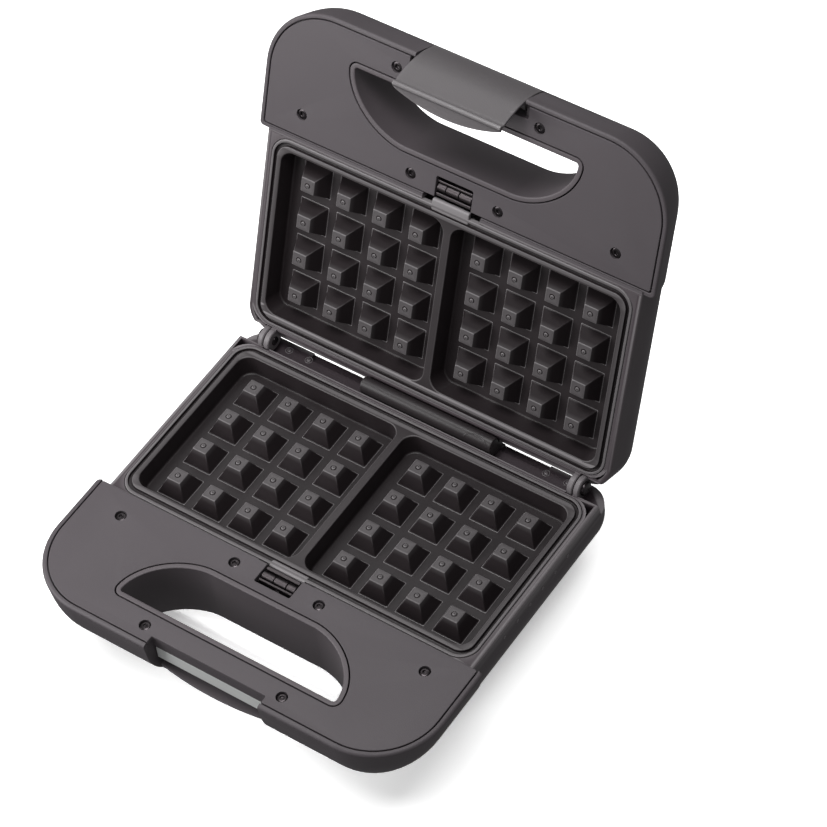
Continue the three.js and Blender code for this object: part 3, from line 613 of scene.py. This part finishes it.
def slot_lip():
    """The lip under the latch's slot, one long arc at its free edge."""
    reach, back = SLOT_LIP["half_width"], SLOT_LIP["back"]
    places = [reach - 2 * reach * i / 24 for i in range(25)]
    arc = [(x, SLOT_LIP["ends"] - SLOT_LIP["bulge"] * (1 - (x / reach) ** 2)) for x in places]

    def outline(offset):
        return [(reach, back)] + [(x, y - offset) for x, y in arc] + [(-reach, back)]

    return slab(outline, SLOT_LIP["top"], SLOT_LIP["thickness"], 0.4)


def side_pips():
    """Small raised dots in a row on both sides."""
    pip = [(1, 112.6), (1, 113.6), (0.85, 113.85), (0.5, 113.98), (0.1, 114)]
    places = [(0, PIPS["first"] + PIPS["pitch"] * i, PIPS["z"]) for i in range(PIPS["count"])]
    return [turned([(r, side * x) for r, x in pip], place, 16, "x") for place in places for side in (-1, 1)]


def base_housing():
    reach, front, above = NOTCH["half_width"], BEYOND["front"], BEYOND["above"]
    floor = BASE_POCKET["floor"]
    pocket_wall = boolean(block(*BASE_POCKET["wall"]), grip_zone(BASE, *OPEN_TOP), "INTERSECT")
    under_catch, over_catch = CATCH["bottom"] - GAP, CATCH["top"] + GAP
    pocket = [block((-reach, reach), (front, NOTCH["back"]), (floor, above)),
              block((-reach, reach), (front, BASE_POCKET["back"]), (floor, under_catch)),
              block((-reach, reach), (front, CATCH["back"] + GAP), (under_catch, over_catch))]
    cover_gap = (COVER[0] - GAP, COVER[1] + GAP)
    body = cut(union([shell(BASE), pocket_wall]),
               pocket + [rod("x", COVER_RADIUS + GAP, cover_gap, (0, 0))] + reliefs(spans(LID_EAR, 0.3)))
    body = union([body] + [ear(span, (DECK["front"], BARREL), (-9.5, 0)) for span in spans(BASE_EAR)])
    notches = [block(span, (4, 20), (BASE["deck"] - 1.2, above))
               for span in ((COVER[1] + 0.6, REAR_NOTCH_END), (-REAR_NOTCH_END, COVER[0] - 0.6))]
    holes = ([rod("y", CORD_HOLE["radius"], (0, 20), (CORD_HOLE["x"], CORD_HOLE["z"]))]
             + [rod("z", 2.8, (-40, -30), place) for place in both(FEET)]
             + [rod("z", 3.1, (-40, -33.8), place) for place in both(BOTTOM_SCREWS)])
    return cut(joined([union([body, slot_lip()])] + side_pips()), notches + holes)


def lid_housing():
    reach = LATCH_HALF_WIDTH + 0.6
    pocket_wall = boolean(block(*LID_POCKET["wall"]), grip_zone(LID, *OPEN_TOP), "INTERSECT")
    pocket = block((-reach, reach), (BEYOND["front"], LID_POCKET["back"]),
                   (LID_POCKET["floor"], BEYOND["above"]))
    cover_room = rod("x", COVER_RADIUS + 0.6, (-COVER[1] - 0.6, -COVER[0] + 0.6), (0, 0))
    body = cut(union([shell(LID), pocket_wall]),
               [pocket] + reliefs(spans(BASE_EAR, 0.4)) + [cover_room])
    body = union([body] + [ear(span, (-6.4, 0), (-13, 0)) for span in spans(LID_EAR)])
    lamp_holes = [rod("z", 3.8, (-40, -30), (side * LAMPS["x"], LAMPS["y"])) for side in (-1, 1)]
    return cut(body, lamp_holes + [block(*OVER_BASE_GRIP)])

# ------------------------------------------------------------------ grips


def grip_plate(half):
    top = half["top"]
    mesh = slab(lambda offset: grip_plate_outline(half, offset - SEAM["outside"]),
                top, GRIP_PLATE["thickness"], 0.3)
    shift = half["opening_shift"]

    def window(offset):
        reach = WINDOW["half_width"] + offset
        return rounded(-reach, reach, WINDOW["front"] + shift - offset, -100, 0.8 + offset, 0.8)

    def notch(offset):
        reach = NOTCH["half_width"] + offset
        return rounded(-reach, reach, -220, NOTCH["back"] + offset, 1, 0.6 + offset)

    tools = [flared(lambda offset: opening_outline(half, SEAM["opening"] + offset), top - 9, top, 0.3),
             flared(window, top - 9, top, 0.3), flared(notch, top - 9, top, 0.5)]
    for x, y in screw_places(half):
        tools.append(turned([(3.1, -9), (3.1, -0.2), (3.2, 0), (3.2, 5)], (x, y, top)))
    piece(f"{half['name']}_grip_plate_skin", cut(mesh, tools), half, half["name"],
          MATERIALS["grip_plastic"], [f"{half['name']}_grip_plate"])


def grip_sleeve(half):
    """The ring round the finger opening and the wall that lines it."""
    top, bottom = half["top"], -HALF_DEPTH
    profile = [(0, top - 2.5), (0, top - 0.35), (-0.1, top - 0.1), (-0.35, top), (-1.9, top),
               (-2.35, top - 0.15), (-2.6, top - 0.4), (-RING, top - 0.9), (-RING, bottom + 1.4),
               (-RING + 0.15, bottom + 0.5), (-RING + 0.6, bottom), (-1.4, bottom), (-0.9, bottom + 0.5),
               (-0.9, top - 2.5)]
    rings = [at(opening_outline(half, offset), z) for offset, z in profile]
    piece(f"{half['name']}_grip_sleeve_skin", skin(rings, loop=True), half, half["name"],
          MATERIALS["sleeve_plastic"], [f"{half['name']}_grip_sleeve"])


def screw(name, place, top, up, half):
    """A small domed screw with a six-sided socket."""
    dome = [(2.75, -0.9), (2.8, -0.45), (2.6, -0.2), (2.1, -0.03), (1.5, 0.03), (1.3, 0), (1.15, -0.15),
            (1.1, -0.75), (0.05, -0.85)]
    head = turned([(1.45, -6)] + [(1.45, -0.9)] + dome, (place[0], place[1], 0), 30)
    head.transform(Matrix.Translation((0, 0, top)) @ Matrix.Diagonal((1, 1, up, 1)))
    piece(name + "_head", head, half, half["name"], MATERIALS["dark_steel"], [name])

# ------------------------------------------------------------------ cooking plates


def plate_outline(offset):
    reach = PLATE["half_width"] - offset
    corner = PLATE["corner"] - offset
    return rounded(-reach, reach, PLATE["front"] + offset * 1.2, PLATE["back"] - offset * 1.05, corner,
                   None, SMALL_STEPS * 2)


def well_outline(side, offset):
    span = (WELL["inner"] + offset, WELL["outer"] - offset)
    x0, x1 = span if side > 0 else (-span[1], -span[0])
    reach = WELL["half_depth"] - offset
    corner = WELL["corner"] - offset * 0.4
    return rounded(x0, x1, GRID_Y - reach, GRID_Y + reach, corner, corner, SMALL_STEPS * 2)


LUMP_ROWS = [(9.0, -12.02), (8.5, -11.93), (8.12, -11.6), (4.2, -2.75), (4.08, -2.48), (3.86, -2.31),
             (3.55, LUMP_TOP)]
BUTTON_ROWS = [(1.75, LUMP_TOP), (1.6, -2.35), (1.35, -2.5), (1.15, -2.45), (1.05, -2.1), (0.75, -1.95),
               (0.3, -1.88)]


def pyramid(x, y):
    """One moulded lump: a drafted square foot, a soft top edge and a small dimpled button."""
    rings = []
    for width, z in LUMP_ROWS:
        outline = rounded(-width, width, -width, width, 0.55, 0.55, 4)
        rings.append([(x + px, y + py, z) for px, py in outline])
    for radius, z in BUTTON_ROWS:
        ring = []
        for i in range(20):
            turn = math.radians(225) + (i - 2) / 20 * 2 * math.pi
            ring.append((x + radius * math.cos(turn), y + radius * math.sin(turn), z))
        rings.append(ring)
    return skin(rings)


def cooking_plate(half):
    """A cast plate: its rim with a groove, two wells of lumps and the roll that the clip holds."""
    top = PLATE["top"]
    pan = rounded(-WELL["outer"] - PAN_WALL, WELL["outer"] + PAN_WALL, GRID_Y - WELL["half_depth"] - PAN_WALL,
                  GRID_Y + WELL["half_depth"] + PAN_WALL, 10, 10, SMALL_STEPS * 2)
    rim = [(0, -3), (0, -0.35), (0.1, -0.1), (0.35, 0), (1.1, 0), (1.3, -0.08), (1.4, -0.3), (1.45, -1.7),
           (1.7, -1.95), (3.1, -1.95), (3.35, -1.7), (3.4, -0.25), (3.48, -0.08), (3.65, 0)]
    outer = [at(pan, FLOOR_Z - 2.5), at(pan, top - 3)]
    outer += [at(plate_outline(offset), top + z) for offset, z in rim]
    verts, faces = open_skin(outer)
    faces.append(tuple(range(len(pan) - 1, -1, -1)))
    edge = [Vector(p) for p in outer[-1]]
    loops = [edge]
    lip, fillet, wall = 0.7, 1.0, WELL["draft"]
    for side in (-1, 1):
        rings = []
        for i in range(5):
            turn = i / 4 * math.pi / 2
            rings.append(at(well_outline(side, -lip * (1 - math.sin(turn))),
                            top - lip * (1 - math.cos(turn))))
        for i in range(6):
            turn = i / 5 * math.pi / 2
            rings.append(at(well_outline(side, wall + fillet * (1 - math.cos(turn))),
                            FLOOR_Z + fillet * (1 - math.sin(turn))))
        more, quads = open_skin(rings)
        start = len(verts)
        verts += more
        faces += [tuple(start + i for i in quad) for quad in quads]
        faces.append(tuple(len(verts) - len(rings[0]) + i for i in range(len(rings[0]))))
        loops.append([Vector(p) for p in rings[0]])
    flat = [point for loop in loops for point in loop]
    start = len(verts)
    verts += flat
    faces += [tuple(start + i for i in triangle) for triangle in tessellate_polygon(loops)]
    meshes = [mesh_from(verts, faces)]
    for side in (-1, 1):
        for column in range(4):
            for row in range(4):
                meshes.append(pyramid(side * (FIRST_COLUMN + column * PITCH),
                                      GRID_Y + (row - 1.5) * PITCH))
    front = -121.4 + half["opening_shift"]
    back = -116.9
    roll = [(back, top - 2.6), (front + 0.4, top - 2.6), (front, top - 2.1), (front, top - 0.9),
            (front + 0.35, top - 0.3), (front + 1.1, top - 0.05), (back - 1.4, top - 0.05),
            (back - 0.5, top - 0.5), (back, top - 1)]
    meshes.append(pillow(roll, -11.2, 11.2, 0.7))
    name = f"{half['name']}_cooking_plate"
    piece(name + "_cast", joined(meshes), half, f"{half['name']}_plate",
          MATERIALS["non_stick"], [name], sharp=50)

# ------------------------------------------------------------------ clips and latch


def clip(half):
    """Two ribs and a satin roller in three lengths, on a slide."""
    top, shift = half["top"], half["opening_shift"]
    front, back = CLIP["front"] + shift, CLIP["back"] + shift
    reach = CLIP["half_width"]
    under = top - GRIP_PLATE["thickness"] - 0.5

    def rib(y0, y1, z1):
        return pillow([(y0, under - 1), (y1, under - 1), (y1, z1 - 0.25), (y1 - 0.25, z1), (y0 + 0.25, z1),
                       (y0, z1 - 0.25)], -reach, reach, 0.3)

    slide = pillow([(front, under - 2.6), (back, under - 2.6), (back, under), (front, under)],
                   -CLIP["slide"], CLIP["slide"], 0.4)
    room_for_spring = block((-2.2, 2.2), (front - 1, front + 2.4), (top - 8, top - 2.6))
    meshes = [cut(slide, [room_for_spring]), rib(back - 1.9, back - 0.2, top - 0.6),
              cut(rib(front, front + 1.1, top - 1), [room_for_spring])]
    axle = (back - 4.7, top - 2.9)
    turns = [i / 28 * 2 * math.pi for i in range(28)]
    circle = [(axle[0] + CLIP["roller"] * math.cos(turn), axle[1] + CLIP["roller"] * math.sin(turn))
              for turn in turns]
    for x0, x1 in ((-reach, -2.9), (-2.6, 4.9), (5.2, reach)):
        meshes.append(pillow(circle, x0, x1, 0.35))
    name = f"{half['name']}_release_clip"
    piece(name + "_slide", joined(meshes), half, f"{half['name']}_clip",
          MATERIALS["clip_steel"], [name])


def latch():
    """A bowed shell, thin at its ends, whose flange has one long arc as its free edge."""
    outer = smooth([(-196.4, -17.9), (-197.3, -11), (-197.1, -5), (-196.2, 0.8), (-195, 5.1), (-193.1, 10),
                    (-191.4, 13.6), (-190.3, 15.3)], 5)
    outer += [(-190, 15.9), (-190.15, 16.4), (-190.55, 16.9), (-190.6, 17.6), (-190.2, 18.3), (-189.5, 18.75),
              (-188.8, 18.75), (-188.3, 18.4), (-188, 17.8), (-187.5, 17.6)]
    inner = [(-187.6, 17)] + smooth([(-188.4, 16.6), (-189.9, 13.2), (-191.7, 9.5), (-193.6, 4.6),
                                     (-194.8, 0.4), (-195.7, -5.4), (-195.9, -11), (-195.1, -17.6)], 5)
    reach = LATCH_HALF_WIDTH

    def section(x):
        edge = -181 - 6.8 * (x / 34) ** 2
        nose = [(edge - 0.4, 17.7), (edge - 0.1, 17.6), (edge, 17.35), (edge - 0.1, 17.1), (edge - 0.4, 17)]
        return outer + nose + inner

    xs = [-reach + 2 * reach * i / 24 for i in range(25)]
    rings = []
    for k, x in enumerate(xs):
        if k in (0, 24):
            inward = 1 if k == 0 else -1
            steps = range(4) if k == 0 else range(3, -1, -1)
            for i in steps:
                turn = i / 3 * math.pi / 2
                at_x = x + inward * 0.5 * (1 - math.cos(turn))
                rings.append([(at_x, y, z) for y, z in shrunk(section(x), 0.5 * (1 - math.sin(turn)))])
        else:
            rings.append([(x, y, z) for y, z in section(x)])
    lugs = []
    pin_y, pin_z = LATCH_PIN["y"], LATCH_PIN["z"]
    for x in (-LATCH_LUG_X, LATCH_LUG_X):
        lugs.append(turned([(2.2, x - 3), (3.2, x - 2.8), (3.2, x + 2.8), (2.2, x + 3)],
                           (0, pin_y, pin_z), 32, "x"))
        lugs.append(block((x - 2.6, x + 2.6), (-196, pin_y), (pin_z - 3, pin_z + 3)))
    piece("latch_shell", joined([skin(rings)] + lugs), LID, "latch",
          MATERIALS["latch_plastic"], ["latch"])


def latch_catch():
    """The pale strip that the latch hooks under."""
    back, front = CATCH["back"], NOTCH["back"]
    section = [(front + 0.4, CATCH["bottom"]), (back, CATCH["bottom"]), (back, CATCH["top"]),
               (front + 0.8, CATCH["top"]), (front + 0.2, CATCH["top"] - 0.3), (front, CATCH["top"] - 0.9),
               (front, CATCH["bottom"] + 0.5)]
    piece("latch_catch_strip", pillow(section, -CATCH["half_width"], CATCH["half_width"], 0.5), BASE, "base",
          MATERIALS["catch_plastic"], ["latch_catch"])

# ------------------------------------------------------------------ hinge, feet and small parts


def bead(places, radius):
    """A thin raised line; places are (point, outward direction) pairs."""
    rings = []
    for i, (point, out) in enumerate(places):
        ahead = places[min(i + 1, len(places) - 1)][0] - places[max(i - 1, 0)][0]
        side = ahead.cross(out).normalized()
        rings.append([point + (out * math.sin(turn) + side * math.cos(turn)) * radius
                      for turn in (k / 8 * 2 * math.pi for k in range(8))])
    return skin(rings)


def wiring_cover():
    """A low barrel over the wires between the halves, with an arched line at one end."""
    steps, deck = 30, BASE["deck"] + GAP
    section = [(COVER_RADIUS * math.cos(turn), COVER_RADIUS * math.sin(turn))
               for turn in (math.pi * i / steps for i in range(steps + 1))]
    section += [(-COVER_RADIUS, deck + 0.4), (-COVER_RADIUS + 0.4, deck), (BARREL + 1.4, deck),
                (BARREL + 1.4, -2.5), (BARREL + 1, -2), (COVER_RADIUS, -1.9)]
    arch = []
    for i in range(25):
        turn = math.pi * i / 24
        around = math.radians(172 - 62 * math.sin(turn))
        out = Vector((0, math.cos(around), math.sin(around)))
        arch.append((Vector((36.5 - 7 * math.cos(turn), 0, 0)) + out * COVER_RADIUS, out))
    cover = joined([pillow(section, COVER[0], COVER[1], 0.7), bead(arch, 0.25)])
    piece("wiring_cover_barrel", cover, BASE, "base", MATERIALS["cover_plastic"],
          ["wiring_cover"], sharp=25)


def deck_pegs():
    """Small domed pegs, each in a dark ring, on the deck beside the knuckles."""
    profile = [(2.2, -0.4), (2.2, 0.1), (2, 0.25), (1.75, 0.1), (1.6, -0.3), (1.35, -0.3), (1.2, 0.2),
               (0.7, 0.5), (0.1, 0.55)]
    meshes = [turned(profile, (x, y, BASE["deck"]), 24) for x, y in both(PEGS)]
    piece("deck_pegs", joined(meshes), BASE, "base", MATERIALS["charcoal_plastic"])


def hinge_pin(side):
    """A domed pin head outside the knuckles."""
    profile = [(2.4, 93.4), (2.5, 93.7), (2.5, 101.4), (4, 101.4), (4, 102.3), (3.7, 102.8), (2.6, 103),
               (0.4, 103)]
    mesh = turned(profile, (0, 0, 0), 36, "x")
    if side < 0:
        mesh.transform(Matrix.Diagonal((-1, 1, 1, 1)))
    name = "hinge_pin_right" if side > 0 else "hinge_pin_left"
    piece(name + "_head", mesh, BASE, "base", MATERIALS["dark_steel"], [name])


def foot(name, x, y):
    """A rubber foot with a hollow underside, on its stem."""
    profile = [(2.4, -31), (2.5, -31.4), (2.5, -36.3), (7.4, -36.3), (8, -36.9), (8, -40.8), (7.6, -41.6),
               (6.8, -42), (5.4, -42), (5, -41.4), (0.3, -41.2)]
    piece(name + "_pad", turned(profile, (x, y, 0), 40), BASE, "base", MATERIALS["rubber"], [name])


def gland():
    """The empty rubber bush at the back."""
    profile = [(3.4, 2), (4.9, 2.2), (5, 2.6), (5, 9.5), (6.6, 9.5), (7, 9.9), (7, 10.9), (6.6, 11.3),
               (4.4, 11.3), (3.5, 10.6), (3.4, 9)]
    x, z = CORD_HOLE["x"], CORD_HOLE["z"]
    turns = [i / 20 * math.pi for i in range(40)]
    rings = [[(x + r * math.cos(turn), y, z + r * math.sin(turn)) for turn in turns] for r, y in profile]
    piece("cord_gland_bush", skin(rings, loop=True), BASE, "base", MATERIALS["rubber"],
          ["cord_gland"])


def lens(name, side, slot):
    """A small domed indicator on the lid's outside."""
    profile = [(2.9, -32), (3.5, -32.3), (3.5, -36.2), (3.3, -36.6), (2.4, -36.8), (0.3, -36.8)]
    piece(name + "_dome", turned(profile, (side * LAMPS["x"], LAMPS["y"], 0), 32), LID, "lid",
          MATERIALS[slot], [name])


two_parts(BASE, base_housing(), "base_housing", "base")
two_parts(LID, lid_housing(), "lid_housing", "lid")
for half in (BASE, LID):
    grip_plate(half)
    grip_sleeve(half)
    for index, place in enumerate(screw_places(half)):
        screw(f"{half['name']}_grip_screw_{index + 1}", place, half["top"] - 0.65, 1, half)
    cooking_plate(half)
    clip(half)
latch()
latch_catch()
wiring_cover()
deck_pegs()
for side, name in ((-1, "left"), (1, "right")):
    hinge_pin(side)
    for place, (x, y) in zip(("front", "rear"), FEET):
        foot(f"foot_{place}_{name}", side * x, y)
for index, place in enumerate(both(BOTTOM_SCREWS)):
    screw(f"bottom_screw_{index + 1}", place, -HALF_DEPTH + 0.5, -1, BASE)
gland()
lens("power_lens", -1, "red_lens")
lens("ready_lens", 1, "green_lens")

# ------------------------------------------------------------------ studio


def camera():
    """The view from the front right and well above, a little rolled."""
    azimuth, elevation, roll = (math.radians(CAMERA[key]) for key in ("azimuth", "elevation", "roll"))
    right = Vector((math.cos(azimuth), math.sin(azimuth), 0))
    back = Vector((math.sin(azimuth) * math.cos(elevation), -math.cos(azimuth) * math.cos(elevation),
                   math.sin(elevation)))
    up = back.cross(right)
    x = right * math.cos(roll) + up * math.sin(roll)
    y = -right * math.sin(roll) + up * math.cos(roll)
    away = CAMERA["away"]
    place = -(x * away[0] + y * away[1] + back * away[2]) * PITCH * MM
    data = bpy.data.cameras.new("camera")
    data.sensor_width = CAMERA["sensor"]
    data.lens = CAMERA["lens"]
    data.clip_end = 20
    obj = bpy.data.objects.new("camera", data)
    bpy.context.scene.collection.objects.link(obj)
    matrix = Matrix((x, y, back)).transposed().to_4x4()
    matrix.translation = place + Vector((0, HINGE.y + GRID_Y * MM, HINGE.z + LUMP_TOP * MM))
    obj.matrix_world = matrix
    bpy.context.scene.camera = obj


def lamp(name, kind, place, target, power, receivers, **settings):
    """A light that falls only on the objects of one collection."""
    data = bpy.data.lights.new(name, kind)
    data.energy = power
    for key, value in settings.items():
        setattr(data, key, value)
    obj = bpy.data.objects.new(name, data)
    bpy.context.scene.collection.objects.link(obj)
    obj.location = place
    obj.rotation_euler = (Vector(target) - Vector(place)).to_track_quat("-Z", "Y").to_euler()
    obj.light_linking.receiver_collection = receivers


def studio():
    """A dim room, soft lights from the left and a floor bright enough to read as white."""
    world = bpy.data.worlds.new("studio")
    bpy.context.scene.world = world
    world.use_nodes = True
    background = world.node_tree.nodes["Background"]
    background.inputs["Color"].default_value = (1, 1, 1, 1)
    background.inputs["Strength"].default_value = 0.2
    shown = bpy.data.collections.new("waffle_maker")
    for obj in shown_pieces():
        shown.objects.link(obj)
    floor_mesh = bpy.data.meshes.new("floor")
    corners = [(x * FLOOR_REACH, y * FLOOR_REACH, 0) for x, y in ((-1, -1), (1, -1), (1, 1), (-1, 1))]
    floor_mesh.from_pydata(corners, [], [(0, 1, 2, 3)])
    floor_mesh.materials.append(moulded("floor", (0.93, 0.93, 0.93, 1), 0.9, 40, 0.02, spread=0.005))
    glow = floor_mesh.materials[0].node_tree.nodes["Principled BSDF"]
    glow.inputs["Emission Color"].default_value = (1, 1, 1, 1)
    glow.inputs["Emission Strength"].default_value = 0.4
    floor = on_scene(floor_mesh, "floor")
    floor.visible_diffuse = False
    floor.visible_glossy = False
    floor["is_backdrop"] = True
    ground = bpy.data.collections.new("ground")
    ground.objects.link(floor)
    middle = (0, 0, 0.08)
    lamp("key", "AREA", (-0.42, -0.33, 0.32), (0, -0.02, 0.08), 2.3, shown, size=0.35)
    lamp("back", "AREA", (-0.45, 0.55, 0.8), middle, 1.1, shown, size=0.5)
    lamp("fill", "AREA", (0.3, -0.45, 1.45), middle, 1.7, shown, size=0.8)
    lamp("upper", "AREA", (-0.1, -0.02, 0.72), (0, 0.1, 0.19), 1.9, shown, size=0.25)
    lamp("front", "AREA", (-0.25, -1.1, 0.4), middle, 0.5, shown, size=0.6)
    lamp("floor_sky", "SUN", (-0.85, 0.85, 1.4), (0, 0, 0), 6.7, ground, angle=math.radians(95))
    lamp("floor_spot", "SPOT", (0.756, -0.98, 1.43), (0, -0.11, 0), 170, ground, spot_size=math.radians(4.6),
         spot_blend=0.7, shadow_soft_size=0.07)
    bpy.context.scene.view_settings.view_transform = "Standard"


camera()
studio()
